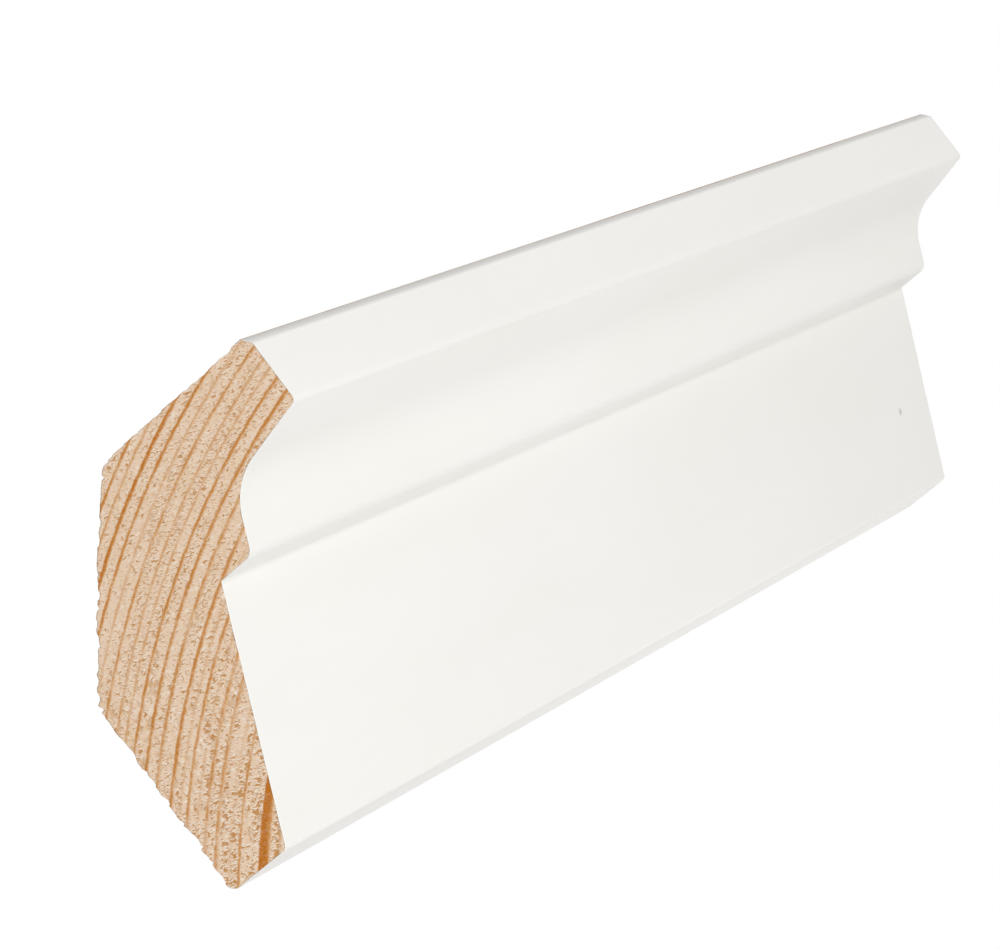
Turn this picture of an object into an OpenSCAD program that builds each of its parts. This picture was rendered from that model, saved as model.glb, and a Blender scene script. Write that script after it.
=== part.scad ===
// A straight length of crown moulding, for the corner between a wall and a ceiling.
//
// It is one piece of timber. It is drawn as it is fixed: the wall is the plane Y = 0,
// the room is towards -Y, +Z is up, and the length runs along X. The origin is the
// centre of the face that bears on the wall.
//
// The section is set out from the virtual corner of the wall and the ceiling, in two
// distances: how far out from the wall, and how far down from the ceiling.

/* [Overall] */
// Length of the piece, square cut at both ends
length = 255; // [60:5:1000]
// Height of wall that the moulding covers
drop = 52; // [43:0.5:75]
// Width of ceiling that the moulding covers
projection = 48.7; // [40.5:0.1:70]

/* [Lip] */
// Height of the upright lip at the ceiling
lip_height = 10.2; // [8:0.1:12.5]
// Fall of the lip's underside, back towards the wall, in degrees
lip_fall = 11.5; // [0:0.5:15]
// Width of the small bevel on the lip's top edge, along the ceiling
top_bevel_width = 1.2; // [0.5:0.1:2.5]
// Height of the same bevel, down the lip
top_bevel_height = 1.4; // [0.5:0.1:2.5]
// Rounding of the lip's lower edge
lip_edge_radius = 0.8; // [0.3:0.1:1.5]

/* [Cove and bead] */
// Radius of the cove under the lip
cove_radius = 9; // [4:0.5:11]
// How far below the ceiling the underside of the bead lies
bead_down = 21.2; // [18:0.1:26]
// How far the bead steps out from the flat face under it
bead_step = 5.6; // [2.5:0.1:7]
// Rounding of the bead's nose
bead_radius = 1.8; // [0.5:0.1:2.5]

/* [Face] */
// Distance of the flat face from the wall at its top, under the bead
face_top_out = 25.4; // [20:0.1:31]
// Width of the bottom edge, out from the wall
bottom_edge_width = 10.2; // [8:0.1:13]
// Rounding between the flat face and the bottom edge
front_arris_radius = 1; // [0.3:0.1:2]
// Rounding between the bottom edge and the wall face
wall_arris_radius = 1.6; // [0.3:0.1:2.5]

/* [Back] */
// How far out from the wall the back bevel ends, on the ceiling face
bevel_out = 21.6; // [12:0.1:27]
// How far down from the ceiling the back bevel ends, on the wall face
bevel_down = 22.7; // [12:0.1:28]
// Rounding of the two arrises of the back bevel
bevel_arris_radius = 0.4; // [0.2:0.1:1.5]

/* [Hidden] */

// Sides of a full circle
$fn = 96;
// The cove's circle cuts this much deeper, so that it leaves no ledge where it meets the sides
hair = 0.001;
// A side is shared by the arcs at its two ends, so each takes less than half of it
side_share = 0.49;

// How far below the ceiling the middle of the wall face, and so the origin, lies
origin_down = (bevel_down + drop) / 2;

// The bead's front runs parallel to the flat face, out by the bead's step
face_lean = (face_top_out - bottom_edge_width) / (drop - bead_down);
bead_front_out = face_top_out + bead_step;

// The lip's underside and the bead's front meet at the root of the cove
fall_slope = tan(lip_fall);
cove_root_down = (lip_height + fall_slope * (projection - bead_front_out - face_lean * bead_down))
    / (1 - fall_slope * face_lean);
cove_root_out = bead_front_out + face_lean * (bead_down - cove_root_down);

// Corners of the section in order round it: [out from the wall, down from the ceiling, radius]
CORNERS = [
    [bevel_out, 0, bevel_arris_radius],
    [projection - top_bevel_width, 0, 0],
    [projection, top_bevel_height, 0],
    [projection, lip_height, lip_edge_radius],
    [cove_root_out, cove_root_down, cove_radius],
    [bead_front_out, bead_down, bead_radius],
    [face_top_out, bead_down, 0],
    [bottom_edge_width, drop, front_arris_radius],
    [0, drop, wall_arris_radius],
    [0, bevel_down, bevel_arris_radius],
];
COVE = 4;
LAST = len(CORNERS) - 1;

function unit(v) = v / norm(v);
function point(i) = let(c = CORNERS[(i + len(CORNERS)) % len(CORNERS)]) [c[0], c[1]];
function to_previous(i) = unit(point(i - 1) - point(i));
function to_next(i) = unit(point(i + 1) - point(i));

// Half of the angle between the two sides that meet at corner i
function half_angle(i) = acos(to_previous(i) * to_next(i)) / 2;

// The corner's own radius, or less where its arc would use up most of a side
function shorter_side(i) = min(norm(point(i - 1) - point(i)), norm(point(i + 1) - point(i)));
function radius(i) = min(CORNERS[i][2], shorter_side(i) * side_share * tan(half_angle(i)));

// The centre of the corner's arc, and the points where the arc leaves the two sides
function centre(i) =
    point(i) + unit(to_previous(i) + to_next(i)) * radius(i) / sin(half_angle(i));
function arc_start(i) = point(i) + to_previous(i) * radius(i) / tan(half_angle(i));
function arc_end(i) = point(i) + to_next(i) * radius(i) / tan(half_angle(i));

// What the straight-sided outline has in place of corner i: the corner itself where it is
// sharp, a cut across it where an arc rounds it, and the arc's centre in front of the cove
function outline_at(i) =
    CORNERS[i][2] == 0 ? [point(i)] :
    i == COVE ? [arc_start(i), centre(i), arc_end(i)] :
    [arc_start(i), arc_end(i)];

// The section: the cove is cut out by its circle, and each outer arc is filled by its own
module section() {
    difference() {
        polygon([for (i = [0:LAST]) each outline_at(i)]);
        translate(centre(COVE)) circle(r = radius(COVE) + hair);
    }
    for (i = [0:LAST])
        if (i != COVE && CORNERS[i][2] > 0)
            translate(centre(i)) circle(r = radius(i));
}

// Turns the section upright, with its out distance along -Y and its down distance along -Z
module stand_on_wall() {
    translate([-length / 2, 0, origin_down])
        rotate([180, 0, 0])
            rotate([90, 0, 90])
                children();
}

module moulding() {
    color([0.93, 0.92, 0.89])
        stand_on_wall()
            linear_extrude(height = length)
                section();
}

moulding();
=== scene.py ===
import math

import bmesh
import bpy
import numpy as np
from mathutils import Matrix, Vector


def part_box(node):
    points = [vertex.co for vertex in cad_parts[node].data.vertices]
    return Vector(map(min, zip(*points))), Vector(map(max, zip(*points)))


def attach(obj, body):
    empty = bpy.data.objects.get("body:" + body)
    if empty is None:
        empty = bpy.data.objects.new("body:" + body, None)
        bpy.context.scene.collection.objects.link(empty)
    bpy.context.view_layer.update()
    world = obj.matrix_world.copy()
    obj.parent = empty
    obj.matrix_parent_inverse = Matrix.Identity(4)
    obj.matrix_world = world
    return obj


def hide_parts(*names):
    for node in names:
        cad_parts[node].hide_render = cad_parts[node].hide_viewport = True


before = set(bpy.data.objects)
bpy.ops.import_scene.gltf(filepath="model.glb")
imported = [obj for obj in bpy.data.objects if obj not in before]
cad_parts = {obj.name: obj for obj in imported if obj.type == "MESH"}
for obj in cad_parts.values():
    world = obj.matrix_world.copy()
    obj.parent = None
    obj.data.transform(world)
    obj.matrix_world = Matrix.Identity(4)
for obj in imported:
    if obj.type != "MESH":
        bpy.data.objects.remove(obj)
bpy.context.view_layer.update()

# A short length of crown moulding, cut from one piece of pine. The room side is painted;
# the two cut ends, the ceiling face, the wall face and the back bevel are bare timber.
#
# The section is set out in two distances in millimetres, as in the CAD part: out from the
# wall (the frame's -Y) and down from the ceiling (the frame's -Z). The length runs along X.

MM = 0.001
NODE = "moulding"
LOW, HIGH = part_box(NODE)
LENGTH = (HIGH.x - LOW.x) / MM
PROJECTION = (HIGH.y - LOW.y) / MM
DROP = (HIGH.z - LOW.z) / MM
CEILING_Z = HIGH.z / MM
WALL_Y = HIGH.y / MM

# ---------------------------------------------------------------- the section, in millimetres
LIP_HEIGHT = 10.2
LIP_FALL = math.radians(11.5)
TOP_BEVEL = (1.2, 1.4)
LIP_EDGE_RADIUS = 0.8
COVE_RADIUS = 9.0
BEAD_DOWN = 21.2
BEAD_STEP = 5.6
BEAD_RADIUS = 1.8
FACE_TOP_OUT = 25.4
BOTTOM_EDGE = 10.2
FRONT_ARRIS_RADIUS = 1.0
WALL_ARRIS_RADIUS = 1.6
BEVEL_OUT = 21.6
BEVEL_DOWN = 22.7
BEVEL_ARRIS_RADIUS = 0.4

PAINT_THICKNESS = 0.1
PAINT_BED = 0.05  # depth of the timber's surface under the paint
PAINT_LAP = 0.06  # the paint's share of the ceiling face's width, next to the lip
LAP_WIDTH = 1.5  # about the same in millimetres: the timber is as smooth as the bed up to here

FACE_SKIN = 1.2  # a place less than this from the wall or the ceiling lies on that face
INSIDE_TIMBER = np.array([20.0, 20.0])  # out and down


def cove_root():
    """Where the lip's sloping underside meets the bead's front, which is parallel to the face."""
    lean = (FACE_TOP_OUT - BOTTOM_EDGE) / (DROP - BEAD_DOWN)
    fall = math.tan(LIP_FALL)
    bead_front = FACE_TOP_OUT + BEAD_STEP
    down = (LIP_HEIGHT + fall * (PROJECTION - bead_front - lean * BEAD_DOWN)) / (1 - fall * lean)
    return bead_front + lean * (BEAD_DOWN - down), down


def arc_at(before, corner, after, radius, step):
    """Points of the arc that rounds a corner, at most step apart: it is tangent to both sides,
    radius / tan(half angle) away from the corner, and its centre lies on the corner's bisector,
    radius / sin(half angle) away."""
    if radius == 0:
        return corner[None, :]
    u = (before - corner) / np.linalg.norm(before - corner)
    w = (after - corner) / np.linalg.norm(after - corner)
    half = math.acos(float(u @ w)) / 2
    bisector = (u + w) / np.linalg.norm(u + w)
    centre = corner + bisector * radius / math.sin(half)
    turn = math.pi / 2 - half
    count = 2 * max(2, math.ceil(radius * turn / step)) + 1
    angles = np.linspace(-turn, turn, count)
    across = (w - u) / np.linalg.norm(w - u)
    return centre - radius * (np.cos(angles)[:, None] * bisector - np.sin(angles)[:, None] * across)


def section_paths(step):
    """The room-side and the back path of the section, each from the lip's top edge to the middle
    of the heel, the rounded arris at the bottom of the wall face. Both are straight lines and
    arcs between the corners."""
    corners = np.array([
        (PROJECTION - TOP_BEVEL[0], 0),
        (PROJECTION, TOP_BEVEL[1]),
        (PROJECTION, LIP_HEIGHT),
        cove_root(),
        (FACE_TOP_OUT + BEAD_STEP, BEAD_DOWN),
        (FACE_TOP_OUT, BEAD_DOWN),
        (BOTTOM_EDGE, DROP),
        (0, DROP),
        (0, BEVEL_DOWN),
        (BEVEL_OUT, 0),
    ])
    radii = [0, 0, LIP_EDGE_RADIUS, COVE_RADIUS, BEAD_RADIUS, 0, FRONT_ARRIS_RADIUS,
             WALL_ARRIS_RADIUS, BEVEL_ARRIS_RADIUS, BEVEL_ARRIS_RADIUS]
    count = len(corners)
    arcs = [arc_at(corners[i - 1], corners[i], corners[(i + 1) % count], radii[i], step)
            for i in range(count)]
    heel = arcs[7]
    middle = len(heel) // 2
    front = np.vstack(arcs[:7] + [heel[:middle + 1]])
    back = np.vstack([arcs[0], arcs[9][::-1], arcs[8][::-1], heel[middle:][::-1]])
    return front, back


# The section lies as a band along the blank, so it is one room-side height and one back height
# over each place along the blank. along and thick are the blank's own axes, at 45 degrees.
def to_blank(points):
    """Out and down to along = (down - out) / root 2 and thick = (down + out) / root 2."""
    out, down = points[..., 0], points[..., 1]
    return np.stack([down - out, down + out], -1) / math.sqrt(2)


def from_blank(along, thick):
    """Along and thick to out = (thick - along) / root 2 and down = (thick + along) / root 2."""
    return np.stack([thick - along, thick + along], -1) / math.sqrt(2)


def lattice_noise(seed, *axes):
    """Smooth noise from -1 to 1: random values on a whole-number lattice, blended between
    neighbours by the curve 3t^2 - 2t^3. Each axis is a coordinate divided by its cell size."""
    axes = np.broadcast_arrays(*[np.asarray(a, float) for a in axes])
    cells = [np.floor(a).astype(np.int64) for a in axes]
    parts = [a - c for a, c in zip(axes, cells)]
    parts = [t * t * (3 - 2 * t) for t in parts]
    total = np.zeros(axes[0].shape)
    for corner in range(2 ** len(axes)):
        key = np.full(axes[0].shape, seed * 7919 + 17, np.int64)
        weight = np.ones(axes[0].shape)
        for n, (cell, part) in enumerate(zip(cells, parts)):
            bit = corner >> n & 1
            key = (key * 1103515245 + (cell + bit) * (12345 + 9176 * n) + 101) & 0x7FFFFFFF
            key = key ^ key >> 13
            weight = weight * (part if bit else 1 - part)
        key = (key * 69069 + 1) & 0x7FFFFFFF
        key = (key ^ key >> 11) * 1664525 & 0x7FFFFFFF
        total += weight * (key / 0x3FFFFFFF - 1)
    return total


def to_frame(x, out_down):
    """Millimetres along, out and down to the frame's metres."""
    return np.stack([x, WALL_Y - out_down[..., 0], CEILING_Z - out_down[..., 1]], -1) * MM


def walked(path):
    """The distance walked along a path to each of its points."""
    return np.concatenate([[0], np.cumsum(np.linalg.norm(np.diff(path, axis=0), axis=1))])


def path_normals(path, closed):
    """Unit normals of a path. At each point the tangent is the mean direction of the two edges
    that meet there, and the normal is that tangent turned by a quarter, from out towards down."""
    if closed:
        ahead, behind = np.roll(path, -1, 0), np.roll(path, 1, 0)
    else:
        ahead, behind = np.vstack([path[1:], path[-1:]]), np.vstack([path[:1], path[:-1]])
    one, two = ahead - path, path - behind
    one /= np.maximum(np.linalg.norm(one, axis=1), 1e-9)[:, None]
    two /= np.maximum(np.linalg.norm(two, axis=1), 1e-9)[:, None]
    tangent = one + two
    tangent /= np.linalg.norm(tangent, axis=1)[:, None]
    return np.stack([-tangent[:, 1], tangent[:, 0]], -1)


def quad_faces(index):
    """Two triangles for each cell of a grid of vertex numbers; cells that close up lose one."""
    a, b, c, d = index[:-1, :-1], index[1:, :-1], index[1:, 1:], index[:-1, 1:]
    faces = np.concatenate([np.stack(corners, -1).reshape(-1, 3) for corners in ((a, b, c), (a, c, d))])
    distinct = (faces != np.roll(faces, -1, 1)).all(1)
    return faces[distinct]


def make_piece(name, points, faces, material, values=None):
    """A mesh object at the origin from arrays of points and triangles, its faces turned
    outwards. values are named numbers, one for each point."""
    mesh = bpy.data.meshes.new(name)
    mesh.vertices.add(len(points))
    mesh.vertices.foreach_set("co", points.astype(np.float32).ravel())
    mesh.loops.add(faces.size)
    mesh.loops.foreach_set("vertex_index", faces.astype(np.int32).ravel())
    mesh.polygons.add(len(faces))
    mesh.polygons.foreach_set("loop_start", np.arange(0, faces.size, 3, dtype=np.int32))
    mesh.polygons.foreach_set("use_smooth", np.ones(len(faces), bool))
    mesh.update(calc_edges=True)
    for key, data in (values or {}).items():
        mesh.attributes.new(key, "FLOAT", "POINT").data.foreach_set("value", data.astype(np.float32))
    work = bmesh.new()
    work.from_mesh(mesh)
    bmesh.ops.recalc_face_normals(work, faces=work.faces)
    work.to_mesh(mesh)
    work.free()
    mesh.materials.append(material)
    piece = bpy.data.objects.new(name, mesh)
    bpy.context.scene.collection.objects.link(piece)
    return piece


# ------------------------------------------------------------------------------ the pine body
PITH = np.array([74.4, 118.3])  # the tree's centre line, out and down, clear of the section
MIDDLE_RING = 110.0  # a middling ring's radius, which makes an angle a distance round the tree


def sawn_depth(loop, bare, x):
    """How far the rough timber lies under its true surface, in millimetres, over (place round
    the section, place along the length). It adds up saw marks that slant across the length,
    raised fibre and slow waves along it, arrises worn round, and two things that fade away from
    the cuts: teeth broken from every edge, and wider chips out of the back bevel. The bevel has
    a slight belly, highest in its middle. Next to the paint the depth blends into the bed's."""
    s, x = np.broadcast_arrays(walked(loop)[:, None], x[None, :])
    out, down = loop[:, 0][:, None], loop[:, 1][:, None]
    on_wall = out < FACE_SKIN
    on_ceiling = down < FACE_SKIN
    slant = x + 0.06 * s + 0.5 * lattice_noise(3, s / 9, x / 14)
    marks = 0.5 + 0.5 * lattice_noise(5, slant / 1.3, s / 26)
    fibre = np.abs(lattice_noise(7, s / 0.9, x / 12)) * 0.6
    fibre = fibre + np.abs(lattice_noise(8, s / 0.8, x / 5)) * 0.4
    waves = 0.5 + 0.5 * lattice_noise(9, s / 5, x / 40)
    depth = 0.02 + 0.13 * marks + 0.11 * fibre + 0.14 * waves
    to_cut = LENGTH / 2 - np.abs(x)
    side = np.sign(x)
    teeth = np.clip(lattice_noise(11, s / 0.62, side * 3) - 0.1, 0, 1) ** 0.8
    teeth += 0.8 * np.clip(lattice_noise(12, s / 1.7, side * 3) - 0.2, 0, 1)
    weight = np.where(on_wall, 0.5, np.where(on_ceiling, 0.2, 0.36))
    depth = depth + weight * teeth * np.exp(-to_cut / 0.9)
    chipped = np.clip(lattice_noise(13, s / 4.2, side * 3), 0, 1)
    depth = depth + 0.35 * chipped * np.exp(-to_cut / 3) * ~(on_wall | on_ceiling)
    for arris_out, arris_down in ((BEVEL_OUT, 0), (0, BEVEL_DOWN)):
        depth = depth + 0.3 * np.exp(-np.hypot(out - arris_out, down - arris_down) ** 2 / 0.7)
    up_bevel = np.clip(out / BEVEL_OUT, 0, 1)
    belly = np.where(on_wall | on_ceiling, 0, 0.4 * np.sin(np.pi * up_bevel) ** 1.5)
    off_lap = np.clip((PROJECTION - TOP_BEVEL[0] - LAP_WIDTH - out) / 0.8, 0, 1)
    off_heel = np.clip((DROP - WALL_ARRIS_RADIUS + 0.1 - down) / 1.2, 0, 1)
    off_paint = np.where(on_ceiling, off_lap, np.where(out < 2, off_heel, 1))
    depth = PAINT_BED + (depth - PAINT_BED) * off_paint
    return np.where(bare[:, None], depth - belly, PAINT_BED)


def cut_depth(points, seed):
    """How deep the sawn end lies under the cut plane, in millimetres, and how torn it is from 0
    to 1. The pits are noise of two sizes over (radius, way round the tree), deeper in some bands
    of rings and towards the bottom edge. A fine roughness and slanting saw lines add to them."""
    out, down = points[..., 0], points[..., 1]
    radius = np.hypot(out - PITH[0], down - PITH[1])
    turn = np.arctan2(down - PITH[1], out - PITH[0]) * MIDDLE_RING
    band = 0.5 + 0.5 * lattice_noise(21 + seed, radius / 1.3, turn / 16)
    low = np.clip((down - out * 0.55 - 2) / 34, 0, 1)
    weight = np.clip(band * 0.75 + low * 0.5 - 0.22, 0, 1)
    large_pits = lattice_noise(23 + seed, radius / 0.42, turn / 0.55)
    small_pits = lattice_noise(25 + seed, radius / 0.24, turn / 0.3)
    pits = large_pits + 0.55 * small_pits
    torn = np.clip((pits - 0.62 + 0.45 * weight) * 2.6, 0, 1) * (0.25 + 0.75 * weight)
    rough = 0.5 + 0.5 * lattice_noise(27 + seed, out / 0.5, down / 0.5)
    saw = 0.5 + 0.5 * lattice_noise(29 + seed, (down - 0.35 * out) / 0.5, out / 12)
    return 0.03 + 0.07 * torn + 0.03 * rough + 0.03 * saw, torn


def end_grid(along_step):
    """Places along the blank where the end grain has a column of points, at even steps and at
    every point of the two paths, with the room-side and the back height at each."""
    front, back = (to_blank(p) for p in section_paths(along_step))
    even = np.arange(front[0, 0], front[-1, 0], along_step)
    along = np.unique(np.round(np.concatenate([even, front[:, 0], back[:, 0]]), 4))
    keep = np.concatenate([[True], np.diff(along) > 0.02])
    along = along[keep]
    along[0], along[-1] = front[0, 0], front[-1, 0]
    return along, np.interp(along, front[:, 0], front[:, 1]), np.interp(along, back[:, 0], back[:, 1])


def nearest(values, wanted):
    """The index of the value nearest to each wanted one."""
    return np.abs(values[:, None] - wanted[None, :]).argmin(0)


def wear_directions(loop, bare):
    """The way in which each point of the section's loop is worn, for one millimetre of depth.
    Under the paint it is the inward normal. On the bare side it lies along the ruling of the
    end grids, lengthened by 1 / cosine of its angle to that normal, so that the grids' columns
    never cross."""
    normal = path_normals(loop, True)
    # The sum of (step out) x down is minus the loop's area, and it is over 0 for a loop that
    # runs the wrong way round, whose normals point out of the timber.
    outwards = ((np.roll(loop, -1, 0) - loop)[:, 0] * loop[:, 1]).sum() > 0
    if outwards:
        normal = -normal
    ruling = np.array([1.0, 1.0]) / math.sqrt(2)
    cosine = np.maximum(normal @ ruling, 0.6)
    return np.where(bare[:, None], ruling / cosine[:, None], normal)


def pine_body(material):
    """One closed skin: two end grids, each ruled straight across the section from its back path
    to its room-side path, and rings of the section along the length between them. The near end
    is the finer one."""
    along, front, back = end_grid(along_step=0.2)
    columns = len(along)
    # The loop runs down the room side and comes back up the back, so that place -k on it lies
    # opposite place k.
    loop = np.vstack([from_blank(along, front), from_blank(along, back)[-2:0:-1]])
    size = len(loop)
    on_back = np.arange(size) >= columns
    wear = wear_directions(loop, on_back)
    room_corners, back_corners = (to_blank(path)[:, 0] for path in section_paths(step=0.9))
    kept = np.unique(np.concatenate([
        nearest(along, room_corners),
        (size - nearest(along, back_corners)) % size,
        np.arange(columns - 1, size, 4),
    ]))
    every = np.arange(columns)
    folded = np.minimum(kept, size - kept)
    sparse = np.unique(np.concatenate([every[::2], every[-1:], folded]))

    points, faces, torn_values, end_values = [], [], [], []
    total = 0
    borders = []
    for side, seed, chosen, rows_across in ((-1, 0, every, 100), (1, 100, sparse, 56)):
        edge = loop + wear * sawn_depth(loop, on_back, np.array([side * LENGTH / 2]))
        room = edge[chosen]
        rear = edge[-chosen]
        rear[-1] = room[-1]
        across = np.linspace(0, 1, rows_across)
        grid = rear[:, None, :] * (1 - across)[None, :, None] + room[:, None, :] * across[None, :, None]
        depth, torn = cut_depth(grid, seed)
        index = total + np.arange(grid.shape[0] * grid.shape[1]).reshape(grid.shape[:2])
        index[0, :] = index[0, 0]
        index[-1, :] = index[-1, 0]
        points.append(to_frame(side * (LENGTH / 2 - depth), grid).reshape(-1, 3))
        torn_values.append(torn.ravel())
        end_values.append(np.ones(torn.size))
        faces.append(quad_faces(index))
        border = np.concatenate([index[:, -1], index[-2:0:-1, 0]])
        places = np.concatenate([chosen, size - chosen[-2:0:-1]])
        borders.append((border, np.searchsorted(places, kept)))
        total += grid.shape[0] * grid.shape[1]

    near_cut = np.array([0.35, 0.8, 1.4, 2.1])
    even = np.linspace(3 - LENGTH / 2, LENGTH / 2 - 3, 256)
    rows = np.concatenate([near_cut - LENGTH / 2, even, LENGTH / 2 - near_cut[::-1]])
    depth = sawn_depth(loop, on_back, rows)[kept]
    ring = loop[kept][:, None, :] + wear[kept][:, None, :] * depth[..., None]
    wrapped = total + np.arange(len(kept) * len(rows)).reshape(len(kept), len(rows))
    points.append(to_frame(np.broadcast_to(rows, depth.shape), ring).reshape(-1, 3))
    torn_values.append(np.zeros(wrapped.size))
    end_values.append(np.zeros(wrapped.size))
    faces.append(quad_faces(np.vstack([wrapped, wrapped[:1]])))
    for (border, places), coarse in zip(borders, (wrapped[:, 0], wrapped[:, -1])):
        faces.append(stitch(border, coarse, places))

    used, faces = np.unique(np.vstack(faces), return_inverse=True)
    values = {"torn": np.concatenate(torn_values)[used],
              "end_grain": np.concatenate(end_values)[used]}
    return make_piece("pine_body", np.vstack(points)[used], faces.reshape(-1, 3), material, values)


def stitch(fine, coarse, kept):
    """Triangles between a ring of many points and a ring that keeps only some of them: each
    fine edge joins its nearer coarse point, and each coarse edge the fine point between."""
    count = len(fine)
    edge = np.arange(count)
    ends = np.append(kept, count + kept[0])
    owner = np.searchsorted(kept, edge, side="right") - 1
    middle = (ends[:-1] + ends[1:] + 1) // 2
    nearer = np.where(edge < middle[owner], owner, owner + 1) % len(kept)
    fans = np.stack([fine[edge], fine[(edge + 1) % count], coarse[nearer]], -1)
    number = np.arange(len(kept))
    links = np.stack([coarse[number], fine[middle % count], coarse[(number + 1) % len(kept)]], -1)
    return np.vstack([fans, links])


# ----------------------------------------------------------------------------- the paint coat
def paint_coat(material):
    """A closed film on the room side. Its outer skin is the section's path, from just over the
    lip's top edge to the heel, carried along the length and sunk by a brushed unevenness of
    about a hundredth of a millimetre. The inner skin lies the paint's thickness under the path,
    and strips close the four borders. The two long borders are ragged: their places along the
    path wander with x, and the ends stop a little short of the cuts."""
    front, back = section_paths(step=0.12)
    heel = back[(back[:, 0] < WALL_ARRIS_RADIUS) & (back[:, 1] > DROP - WALL_ARRIS_RADIUS)][::-1]
    start = back[1:2] * PAINT_LAP + back[:1] * (1 - PAINT_LAP)
    path = np.vstack([start, front[:-1], heel])
    walk = walked(path)
    keep = np.concatenate([[True], np.diff(walk) > 0.01])
    path, walk = path[keep], walk[keep]
    normal = path_normals(path, False)
    outwards = (normal * (INSIDE_TIMBER - path)).sum() < 0
    if outwards:
        normal = -normal

    even = np.arange(0, walk[-1], 0.9)
    across = np.unique(np.round(np.concatenate([walk, even]), 3))
    across = across[np.concatenate([[True], np.diff(across) > 0.03])]
    across[-1] = walk[-1]
    near_cut = 0.15 + 0.25 * np.arange(4)
    even = np.linspace(1.5, LENGTH - 1.5, 124)
    x = np.concatenate([[0], near_cut, even, LENGTH - near_cut[::-1], [LENGTH]]) - LENGTH / 2
    s, x = np.meshgrid(across, x, indexing="ij")
    ragged = 0.45 + 0.4 * lattice_noise(31, x / 2.3, x * 0) + 0.25 * lattice_noise(32, x / 0.8, x * 0)
    s[0] = np.clip(1.0 - ragged[0], 0.05, 1.6)
    s[-1] = walk[-1] - np.clip(ragged[-1], 0, 0.9)
    clear_of_borders = (across > 1.7) & (across < walk[-1] - 1.0)
    clear_of_borders[[0, -1]] = True
    s, x = s[clear_of_borders], x[clear_of_borders]

    at = np.stack([np.interp(s, walk, path[:, 0]), np.interp(s, walk, path[:, 1])], -1)
    into = np.stack([np.interp(s, walk, normal[:, 0]), np.interp(s, walk, normal[:, 1])], -1)
    into /= np.linalg.norm(into, axis=-1)[..., None]
    brushed = 0.005 * lattice_noise(33, s / 1.4, x / 9)
    skin = 0.011 + brushed + 0.004 * lattice_noise(34, s / 0.7, x / 1.6)
    short = np.clip(0.03 + 0.05 * lattice_noise(35, s[:, 0] / 0.5, s[:, 0] * 0), 0, 0.09)
    x[:, 0] += short
    x[:, -1] -= short
    points = np.vstack([to_frame(x, at + into * skin[..., None]).reshape(-1, 3),
                        to_frame(x, at + into * PAINT_THICKNESS).reshape(-1, 3)])

    outer = np.arange(s.size).reshape(s.shape)
    inner = outer + s.size
    strips = [np.stack([outer[0], inner[0]]), np.stack([outer[-1], inner[-1]]),
              np.stack([outer[:, 0], inner[:, 0]]), np.stack([outer[:, -1], inner[:, -1]])]
    faces = np.vstack([quad_faces(index) for index in [outer, inner] + strips])
    return make_piece("paint_coat", points, faces, material)


# ------------------------------------------------------------------------------------ materials
def new_material(name):
    """A node material, with its tree and its shader."""
    material = bpy.data.materials.new(name)
    material.use_nodes = True
    tree = material.node_tree
    return material, tree, tree.nodes["Principled BSDF"]


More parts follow.
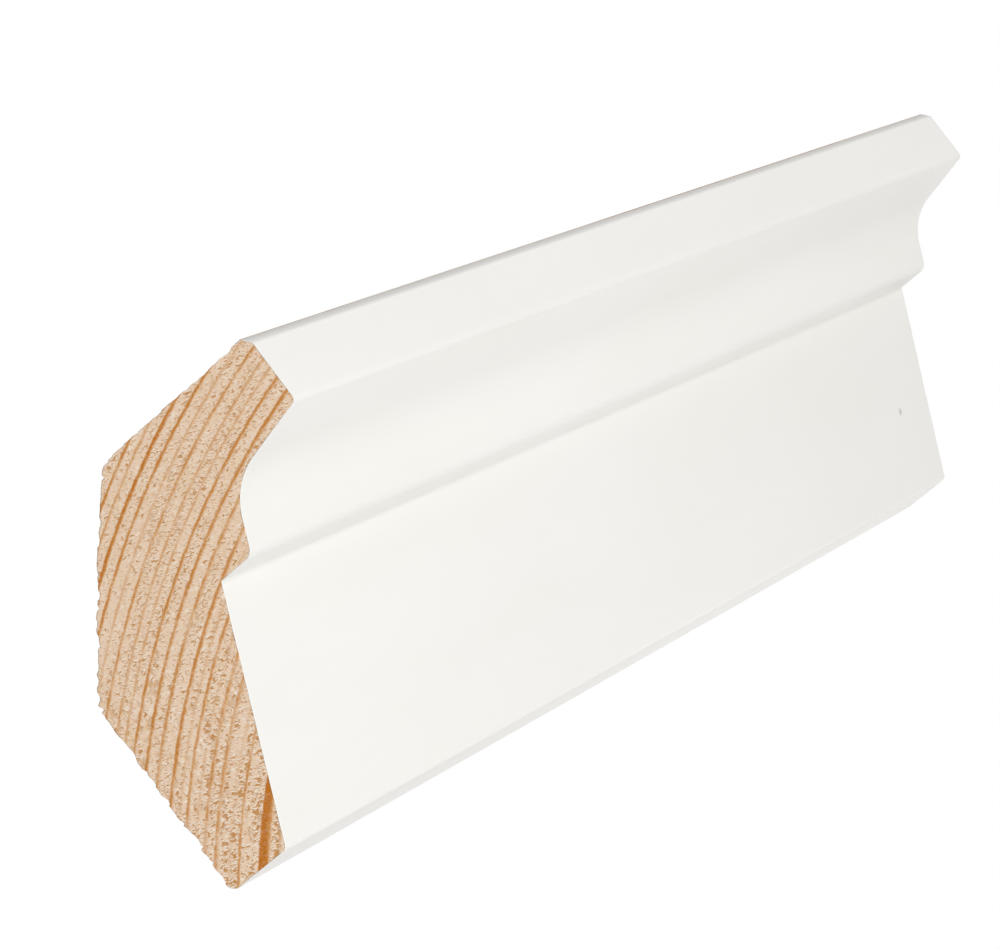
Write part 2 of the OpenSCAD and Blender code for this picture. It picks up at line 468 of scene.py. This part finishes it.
class Maker:
    """Short calls that add a node to a tree and link or set its inputs. A value is a socket of
    another node, or a plain number, colour or vector."""

    def __init__(self, tree):
        self.tree = tree

    def node(self, kind, **settings):
        made = self.tree.nodes.new(kind)
        for key, value in settings.items():
            setattr(made, key, value)
        return made

    def put(self, value, socket):
        if isinstance(value, bpy.types.NodeSocket):
            self.tree.links.new(value, socket)
        else:
            socket.default_value = value

    def group(self, tree, **values):
        made = self.node("ShaderNodeGroup", node_tree=tree)
        for name, value in values.items():
            self.put(value, made.inputs[name])
        return made.outputs

    def apart(self, vector):
        made = self.node("ShaderNodeSeparateXYZ")
        self.put(vector, made.inputs[0])
        return made.outputs

    def together(self, x, y, z):
        made = self.node("ShaderNodeCombineXYZ")
        for value, socket in zip((x, y, z), made.inputs):
            self.put(value, socket)
        return made.outputs[0]

    def measure(self, operation, a, b):
        """A number worked out from two vectors, such as the distance between them."""
        made = self.node("ShaderNodeVectorMath", operation=operation)
        self.put(a, made.inputs[0])
        self.put(b, made.inputs[1])
        return made.outputs["Value"]

    def math(self, operation, a, b=0.0, c=0.0, clamp=False):
        made = self.node("ShaderNodeMath", operation=operation, use_clamp=clamp)
        for value, socket in zip((a, b, c), made.inputs):
            self.put(value, socket)
        return made.outputs[0]

    def span(self, value, low, high, to_low=0.0, to_high=1.0, smooth=False):
        """to_low up to low, to_high from high on, and a straight or smooth change between."""
        made = self.node("ShaderNodeMapRange", clamp=True,
                         interpolation_type="SMOOTHSTEP" if smooth else "LINEAR")
        for item, socket in zip((value, low, high, to_low, to_high), made.inputs):
            self.put(item, socket)
        return made.outputs[0]

    def noise(self, vector, scale, detail=2.0, roughness=0.5, distortion=0.0):
        made = self.node("ShaderNodeTexNoise")
        self.put(vector, made.inputs["Vector"])
        made.inputs["Scale"].default_value = scale
        made.inputs["Detail"].default_value = detail
        made.inputs["Roughness"].default_value = roughness
        made.inputs["Distortion"].default_value = distortion
        return made.outputs["Fac"]

    def mapped(self, vector, scale=(1, 1, 1), location=(0, 0, 0), turn_x=0.0):
        made = self.node("ShaderNodeMapping")
        self.put(vector, made.inputs["Vector"])
        made.inputs["Scale"].default_value = scale
        made.inputs["Location"].default_value = location
        made.inputs["Rotation"].default_value = (turn_x, 0.0, 0.0)
        return made.outputs[0]

    def mix(self, share, a, b):
        """Colour a where share is 0, and colour b where it is 1."""
        made = self.node("ShaderNodeMix", data_type="RGBA")
        self.put(share, made.inputs[0])
        self.put(a, made.inputs[6])
        self.put(b, made.inputs[7])
        return made.outputs[2]

    def bump(self, height, distance, strength):
        made = self.node("ShaderNodeBump")
        made.inputs["Strength"].default_value = strength
        made.inputs["Distance"].default_value = distance
        self.put(height, made.inputs["Height"])
        return made.outputs[0]


def object_mm(make):
    """Object coordinates in millimetres."""
    place = make.node("ShaderNodeTexCoord").outputs["Object"]
    return make.mapped(place, (1 / MM, 1 / MM, 1 / MM))


def new_group(name, vectors, numbers, outputs):
    """An empty node group with its Maker and its named sockets: vector inputs, number inputs
    with their defaults, and number outputs."""
    tree = bpy.data.node_groups.new(name, "ShaderNodeTree")
    for title in vectors:
        tree.interface.new_socket(title, in_out="INPUT", socket_type="NodeSocketVector")
    for title, default in numbers:
        socket = tree.interface.new_socket(title, in_out="INPUT", socket_type="NodeSocketFloat")
        socket.default_value = default
    for title in outputs:
        tree.interface.new_socket(title, in_out="OUTPUT", socket_type="NodeSocketFloat")
    make = Maker(tree)
    return tree, make, make.node("NodeGroupInput").outputs, make.node("NodeGroupOutput").inputs


def tone(red, green, blue):
    """A colour given as 0 to 255 display values, as the linear colour that a shader takes."""
    def linear(v):
        v /= 255
        return v / 12.92 if v <= 0.04045 else ((v + 0.055) / 1.055) ** 2.4
    return linear(red), linear(green), linear(blue), 1.0


# The years of growth that cross the section: the radius of each year's dark late wood from the
# tree's centre, how far inwards it fades out, and how dark it gets. The widest is a resin streak.
GROWTH_RINGS = [
    (93.4, 0.5, 0.38), (95.95, 1.75, 1.8), (98.85, 0.45, 0.65), (100.2, 0.6, 0.2),
    (102.2, 0.8, 0.5), (103.75, 0.7, 0.56), (104.95, 0.4, 0.3), (106.45, 0.55, 0.62),
    (107.5, 0.4, 0.3), (108.95, 0.65, 0.8), (111.1, 0.65, 0.58), (112.85, 0.6, 0.78),
    (114.75, 0.5, 0.76), (116.15, 0.4, 0.42), (117.5, 0.45, 0.48), (119.35, 0.5, 0.62),
    (121.0, 0.45, 0.38), (122.65, 0.5, 0.9), (124.4, 0.6, 1.05), (125.95, 0.45, 0.46),
    (127.35, 0.45, 0.85),
]

PALE_WOOD = tone(238, 210, 179)
WARM_WOOD = tone(233, 201, 165)
ROSY_WOOD = tone(238, 206, 186)
DRY_FIBRE = tone(239, 221, 197)
LATE_WOOD = tone(217, 167, 108)
RESIN_WOOD = tone(193, 114, 24)
HAIR_LINE = tone(184, 134, 80)
# Painted highlight on the lit rims of the torn hollows, which is also the colour of random pale flecks
# of the wood.
HIGHLIGHT_AND_FLECK_WHITE = tone(251, 242, 229)
# The hollows' colour: partly the torn fibre's own darker colour, partly painted shade in the pits.
HOLLOW_BELOW = tone(192, 127, 38)
HOLLOW_ABOVE = tone(190, 131, 58)


def ring_line_group():
    """Late wood of one year: it darkens over Rise up to the ring's radius, then stops within a
    tenth of a millimetre or two."""
    numbers = [("Distance", 0.0), ("Ring", 100.0), ("Rise", 0.4), ("Darkness", 0.5)]
    tree, make, inside, result = new_group("ring_line", [], numbers, ["Line"])
    past = make.math("SUBTRACT", inside["Distance"], inside["Ring"])
    rise = make.math("DIVIDE", past, inside["Rise"])
    rising = make.span(rise, -1.0, -0.1, smooth=True)
    falling = make.span(past, -0.05, 0.25, 1.0, 0.0, smooth=True)
    line = make.math("MULTIPLY", make.math("MULTIPLY", rising, falling), inside["Darkness"])
    make.put(line, result["Line"])
    return tree


def hollow_and_highlight_group():
    """Fibre torn out by the saw: small hollows, and a painted highlight on the rim above each one, the
    side that faces the light, which is the same noise looked up a little way off."""
    numbers = [("Size", 2.0), ("Amount", 0.5)]
    tree, make, inside, result = new_group("torn_hollow_and_highlight", ["Place"], numbers, ["Hollow", "Lip"])
    scaled = make.node("ShaderNodeVectorMath", operation="SCALE")
    make.put(inside["Place"], scaled.inputs[0])
    make.put(inside["Size"], scaled.inputs["Scale"])
    place = scaled.outputs[0]
    low = make.math("SUBTRACT", 0.68, make.math("MULTIPLY", inside["Amount"], 0.16))
    high = make.math("ADD", low, 0.05)
    hollow = make.span(make.noise(place, 1.0, 1.5, 0.55, 0.6), low, high)
    # Painted highlight: the hollows' noise shifted upwards, so that it lies on the rim above each
    # hollow, the side that faces the light.
    beside = make.mapped(place, location=(0.0, 0.1, -0.34))
    highlight_and_fleck = make.span(make.noise(beside, 1.0, 1.5, 0.55, 0.6), make.math("SUBTRACT", low, 0.01), high)
    make.put(hollow, result["Hollow"])
    make.put(make.math("MULTIPLY", highlight_and_fleck, make.math("SUBTRACT", 1.0, hollow)), result["Lip"])
    return tree


def round_the_tree(make, mm, drawn, end):
    """The radius from the tree's centre line and the way round it, in millimetres. The radius is
    the true distance, with a fine sway, a lean and a slow drift that both start at the near end
    and grow along the length, and strands of fibre that wander more on the long faces."""
    x, y, z = make.apart(mm)
    y_off = make.math("ADD", y, PITH[0] - WALL_Y)
    z_off = make.math("ADD", z, PITH[1] - CEILING_Z)
    squares = [make.math("MULTIPLY", off, off) for off in (y_off, z_off)]
    true_radius = make.math("SQRT", make.math("ADD", *squares))
    fine_sway = make.math("MULTIPLY_ADD", make.noise(drawn, 0.8, 2), 0.3, -0.15)
    along = make.math("ADD", x, LENGTH / 2)
    lean = make.math("MULTIPLY", along, 0.008)
    slow = make.math("SUBTRACT", make.noise(make.mapped(mm, (0.011, 0.04, 0.04)), 1.0, 2), 0.5)
    slow = make.math("MULTIPLY", slow, make.span(along, 0, LENGTH / 2, 0.0, 2.4))
    radius = make.math("ADD", make.math("ADD", true_radius, fine_sway), make.math("ADD", lean, slow))
    strands = make.noise(make.mapped(mm, (0.03, 2.4, 2.4)), 1.0, 3, 0.6)
    strands = make.math("SUBTRACT", strands, 0.5)
    radius = make.math("MULTIPLY_ADD", strands, make.span(end, 0.0, 1.0, 0.7, 0.2), radius)
    turn = make.math("MULTIPLY", make.math("ARCTAN2", z_off, y_off), MIDDLE_RING)
    return radius, turn


def late_wood(make, drawn, radius):
    """How dark the wood is, from 0 between the years to nearly 1: the darkest of the ring lines,
    made uneven in broad patches and broken along the fibre."""
    group = ring_line_group()
    lines = None
    for ring, rise, darkness in GROWTH_RINGS:
        line = make.group(group, Distance=radius, Ring=ring, Rise=rise, Darkness=darkness)["Line"]
        lines = line if lines is None else make.math("MAXIMUM", lines, line)
    uneven = make.span(make.noise(drawn, 0.3, 3), 0.32, 0.62, 0.6, 1.12)
    broken = make.span(make.noise(drawn, 2.1, 2), 0.34, 0.52, 0.66, 1.0)
    late = make.math("MULTIPLY", lines, make.math("MULTIPLY", uneven, broken))
    return make.math("MULTIPLY", late, 0.92, clamp=True)


def wood_colour(make, drawn, late):
    """The timber's colour before the saw: pale wood with warm and rosy drifts and dry fibre,
    changing to the late wood's. Returns the fibre too."""
    warm = make.span(make.noise(drawn, 0.22, 3), 0.35, 0.65)
    pale = make.mix(warm, PALE_WOOD, WARM_WOOD)
    rosy = make.span(make.noise(make.mapped(drawn, location=(5, 40, 9)), 1.3, 2), 0.36, 0.64)
    pale = make.mix(make.math("MULTIPLY", rosy, 0.6), pale, ROSY_WOOD)
    fibre = make.span(make.noise(drawn, 2.8, 3, 0.6), 0.34, 0.66)
    pale = make.mix(make.math("MULTIPLY", fibre, 0.5), pale, DRY_FIBRE)
    late_tone = make.mix(late, LATE_WOOD, RESIN_WOOD)
    return make.mix(make.span(late, 0.0, 0.5), pale, late_tone), fibre


def saw_marks(make, mm, radius, turn, late, end, high_up):
    """The hollows that the saw tore on the cut ends, and a painted highlight on the rim above each
    hollow, joined by random pale flecks of the wood's own colour, from 0 to 1. They lie in the saw's
    own slanting axes, in bands along the rings, and keep off the late wood."""
    x = make.apart(mm)[0]
    band = make.noise(make.mapped(make.together(x, turn, radius), (0.05, 0.06, 0.8)), 1.0, 2)
    region = make.span(band, 0.42, 0.58, make.span(high_up, 0.0, 1.0, 0.4, 0.5), 1.0)
    sawn = make.mapped(make.mapped(mm, turn_x=-0.3), (1.0, 0.62, 1.2))
    soft_wood = make.span(late, 0.08, 0.32, 1.0, 0.14)
    on_soft_end = make.math("MULTIPLY", end, soft_wood)
    group = hollow_and_highlight_group()
    layers = []
    for size, share_below, share_above in ((2.0, 1.05, 0.55), (3.5, 0.8, 1.0)):
        share = make.span(high_up, 0.0, 1.0, share_below, share_above)
        amount = make.math("MULTIPLY", region, share)
        layers.append(make.group(group, Place=sawn, Size=size, Amount=amount))
    coarse, fine = layers
    # Hollows from the noise and from the mesh's torn pits. Their colour later darkens them, partly as
    # painted shade.
    hollow = make.math("MAXIMUM", coarse["Hollow"], make.math("MULTIPLY", fine["Hollow"], 0.7))
    torn = make.node("ShaderNodeAttribute", attribute_name="torn").outputs["Fac"]
    hollow = make.math("MAXIMUM", hollow, make.math("MULTIPLY", torn, 0.7))
    hollow = make.math("MULTIPLY", hollow, on_soft_end)
    # Painted highlight on the lit rims, joined by random pale flecks of the wood's own colour.
    highlight_and_fleck = make.math("MULTIPLY", make.math("MAXIMUM", coarse["Lip"], fine["Lip"]), on_soft_end)
    flecks = make.span(make.noise(make.mapped(sawn, location=(31, 7, 3)), 1.8, 2, 0.6), 0.56, 0.68)
    highlight_and_fleck = make.math("MAXIMUM", highlight_and_fleck, make.math("MULTIPLY", flecks, on_soft_end))
    return hollow, make.math("MULTIPLY", highlight_and_fleck, make.span(high_up, 0.0, 1.0, 0.8, 0.44))


def pine_material():
    """Bare pine, solid through the piece: growth rings round the tree's centre line, fibres
    drawn out along the length, torn flecks on the sawn ends with painted shade in their hollows and a
    painted highlight on their rims, dark hair lines and scores on the long faces."""
    material, tree, shader = new_material("bare_pine")
    make = Maker(tree)
    mm = object_mm(make)
    drawn = make.mapped(mm, (0.03, 1, 1))
    end = make.node("ShaderNodeAttribute", attribute_name="end_grain").outputs["Fac"]
    long_face = make.math("SUBTRACT", 1.0, end)
    high_up = make.span(make.apart(mm)[2], -12.0, 24.0)

    radius, turn = round_the_tree(make, mm, drawn, end)
    late = late_wood(make, drawn, radius)
    colour, fibre = wood_colour(make, drawn, late)
    hollow, highlight_and_fleck = saw_marks(make, mm, radius, turn, late, end, high_up)
    hair_lines = make.span(make.noise(make.mapped(mm, (0.05, 1, 1)), 3.6, 2, 0.6), 0.6, 0.72)
    hair_lines = make.math("MULTIPLY", hair_lines, long_face)
    colour = make.mix(make.math("MULTIPLY", hair_lines, 0.45), colour, HAIR_LINE)
    # Painted highlight on the lit rims of the torn hollows, together with the pale flecks.
    colour = make.mix(highlight_and_fleck, colour, HIGHLIGHT_AND_FLECK_WHITE)
    # Hollows darkened partly in the torn fibre's own colour and partly as painted shade in the pits.
    hollow_tone = make.mix(high_up, HOLLOW_BELOW, HOLLOW_ABOVE)
    colour = make.mix(make.math("MULTIPLY", hollow, 0.82), colour, hollow_tone)
    make.put(colour, shader.inputs["Base Color"])
    shader.inputs["Roughness"].default_value = 0.78
    shader.inputs["Specular IOR Level"].default_value = 0.25

    hairs = make.span(make.noise(make.mapped(mm, (0.12, 1, 1)), 4.5, 2, 0.6), 0.38, 0.62)
    scores = make.noise(make.mapped(mm, (1.6, 0.12, 0.12)), 1.0, 3, 0.65)
    height = make.math("MULTIPLY_ADD", late, 0.35, make.math("MULTIPLY", fibre, 0.3))
    rough = make.math("ADD", make.math("MULTIPLY", scores, 2.2), make.math("MULTIPLY", hairs, 0.9))
    height = make.math("MULTIPLY_ADD", rough, long_face, height)
    height = make.math("MULTIPLY_ADD", hollow, -0.5, height)
    make.put(make.bump(height, 0.08 * MM, 0.35), shader.inputs["Normal"])
    return material


# One speck of dust is caught in the paint, low on the face near the far end (millimetres).
DUST_SPECK = (113.5, -16.6, -1.7)

OFF_WHITE = tone(239, 237, 233)
CREAM_WHITE = tone(237, 235, 230)
DUST_GREY = tone(160, 158, 150)


def paint_material():
    """Satin off-white paint: a warm white that wanders very slightly, the fine stipple of the
    coat, the pine's grain showing through it, and a speck of dust caught in it."""
    material, tree, shader = new_material("satin_paint")
    make = Maker(tree)
    mm = object_mm(make)
    drift = make.span(make.noise(make.mapped(mm, (0.25, 1, 1)), 0.06, 3), 0.35, 0.65)
    colour = make.mix(drift, OFF_WHITE, CREAM_WHITE)
    wobble = make.math("MULTIPLY", make.noise(mm, 3.0, 1), 0.35)
    off_speck = make.math("ADD", make.measure("DISTANCE", mm, DUST_SPECK), wobble)
    speck = make.span(off_speck, 0.3, 1.15, 1.0, 0.0, smooth=True)
    colour = make.mix(make.math("MULTIPLY", speck, 0.6), colour, DUST_GREY)
    make.put(colour, shader.inputs["Base Color"])
    sheen = make.span(make.noise(mm, 0.5, 3), 0.3, 0.7, 0.36, 0.44)
    make.put(sheen, shader.inputs["Roughness"])
    stipple = make.noise(make.mapped(mm, (0.6, 1, 1)), 1.7, 2)
    grain = make.noise(make.mapped(mm, (0.05, 1, 1)), 1.1, 3)
    height = make.math("MULTIPLY_ADD", grain, 0.6, stipple)
    height = make.math("MULTIPLY_ADD", speck, 3.0, height)
    make.put(make.bump(height, 0.03 * MM, 0.35), shader.inputs["Normal"])
    return material


def floor_material():
    """Plain white, and clear from underneath, so that the piece shows from below too."""
    material, tree, shader = new_material("pale_floor")
    make = Maker(tree)
    underneath = make.node("ShaderNodeNewGeometry").outputs["Backfacing"]
    make.put(make.math("SUBTRACT", 1.0, underneath), shader.inputs["Alpha"])
    shader.inputs["Base Color"].default_value = tone(244, 244, 243)
    shader.inputs["Roughness"].default_value = 1.0
    shader.inputs["Emission Color"].default_value = (1.0, 1.0, 1.0, 1.0)
    shader.inputs["Emission Strength"].default_value = 0.3
    return material


# ------------------------------------------------------------------- floor, light and camera
FLOOR_Z = -0.30
FLOOR_HALF = 3.0


def make_floor():
    """A plain pale floor, well under the piece, which hangs free as it would at a ceiling. It
    neither tints, mirrors nor shades the piece."""
    signs = ((-1, -1), (1, -1), (1, 1), (-1, 1))
    corners = [(x * FLOOR_HALF, y * FLOOR_HALF, FLOOR_Z) for x, y in signs]
    mesh = bpy.data.meshes.new("floor")
    mesh.from_pydata(corners, [], [(0, 1, 2, 3)])
    mesh.materials.append(floor_material())
    floor = bpy.data.objects.new("floor", mesh)
    bpy.context.scene.collection.objects.link(floor)
    floor.visible_diffuse = False
    floor.visible_glossy = False
    floor.visible_shadow = False


# The white room is brighter on some sides: each glow has the direction that it comes from and
# its strength, and fades as the squared cosine of the angle from it.
ROOM_LIGHT = 0.37
ROOM_GLOWS = [
    ((-0.90, -0.43, -0.11), 0.25),
    ((0.18, 0.98, -0.05), 0.50),
    ((0.38, 0.31, 0.87), 0.50),
]


def make_world():
    """A white room: it shows as plain white, and lights the piece softly by its glows."""
    world = bpy.data.worlds.new("white_room")
    world.use_nodes = True
    bpy.context.scene.world = world
    make = Maker(world.node_tree)
    back = world.node_tree.nodes["Background"]
    back.inputs["Color"].default_value = (1.0, 1.0, 1.0, 1.0)
    direction = make.node("ShaderNodeTexCoord").outputs["Generated"]
    light = ROOM_LIGHT
    for towards, strength in ROOM_GLOWS:
        facing = make.math("MAXIMUM", make.measure("DOT_PRODUCT", direction, towards), 0.0)
        glow = make.math("MULTIPLY", make.math("MULTIPLY", facing, facing), strength)
        light = make.math("ADD", light, glow)
    ray = make.node("ShaderNodeLightPath").outputs["Is Camera Ray"]
    make.put(make.span(ray, 0.0, 1.0, light, 1.0), back.inputs["Strength"])


def soft_light(name, direction, distance, size, strength, middle=(0.0, 0.0, 0.0)):
    """A square soft box of a size, in metres, at a distance from a middle point in a direction,
    turned to face it. The strength is in watts."""
    data = bpy.data.lights.new(name, "AREA")
    data.shape = "SQUARE"
    data.size = size
    data.energy = strength
    lamp = bpy.data.objects.new(name, data)
    away = Vector(direction).normalized()
    lamp.location = away * distance + Vector(middle)
    lamp.rotation_mode = "QUATERNION"
    lamp.rotation_quaternion = away.to_track_quat("Z", "Y")
    lamp.visible_camera = False
    bpy.context.scene.collection.objects.link(lamp)
    return lamp


# The camera stands off the near end of the length, a little below the piece and rolled to it.
CAMERA_PLACE = Vector((-0.6048, -0.2951, -0.0562))
CAMERA_VIEW = Vector((0.89477, 0.43197, 0.11305))
CAMERA_UP = Vector((0.17943, -0.57969, 0.79484))
SENSOR_WIDTH = 36.0
FOCAL_LENGTH = 4.478 * SENSOR_WIDTH


def make_camera():
    """A long lens at CAMERA_PLACE. Its own axes are the view turned back, the right, which is
    square to that and to CAMERA_UP, and the true up, square to both."""
    data = bpy.data.cameras.new("camera")
    data.sensor_width = SENSOR_WIDTH
    data.lens = FOCAL_LENGTH
    data.clip_start = 0.01
    data.clip_end = 20.0
    back = -CAMERA_VIEW.normalized()
    right = CAMERA_UP.cross(back).normalized()
    up = back.cross(right)
    camera = bpy.data.objects.new("camera", data)
    turned = Matrix((right, up, back)).transposed().to_4x4()
    camera.matrix_world = Matrix.Translation(CAMERA_PLACE) @ turned
    bpy.context.scene.collection.objects.link(camera)
    bpy.context.scene.camera = camera


# ---------------------------------------------------------------------------------- the scene
bpy.context.scene.view_settings.view_transform = "Standard"

body = pine_body(pine_material())
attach(body, "root")

coat = paint_coat(paint_material())
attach(coat, "root")

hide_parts(NODE)

make_floor()
make_world()
soft_light("key", (-0.52, -0.74, -0.43), distance=1.5, size=0.9, strength=17.2)
soft_light("far_end", (0.89, -0.42, 0.18), distance=1.5, size=0.9, strength=1.6)
for name, direction, strength, middle_x in (
        ("under_far_end", (0.45, 0.62, -0.64), 0.24, 0.11),
        ("under_near_end", (0.40, 0.48, -0.78), 0.26, -0.11)):
    lamp = soft_light(name, direction, distance=0.3, size=0.25, strength=strength,
                      middle=(middle_x, -0.02, 0.0))
    lamp.visible_glossy = False
make_camera()
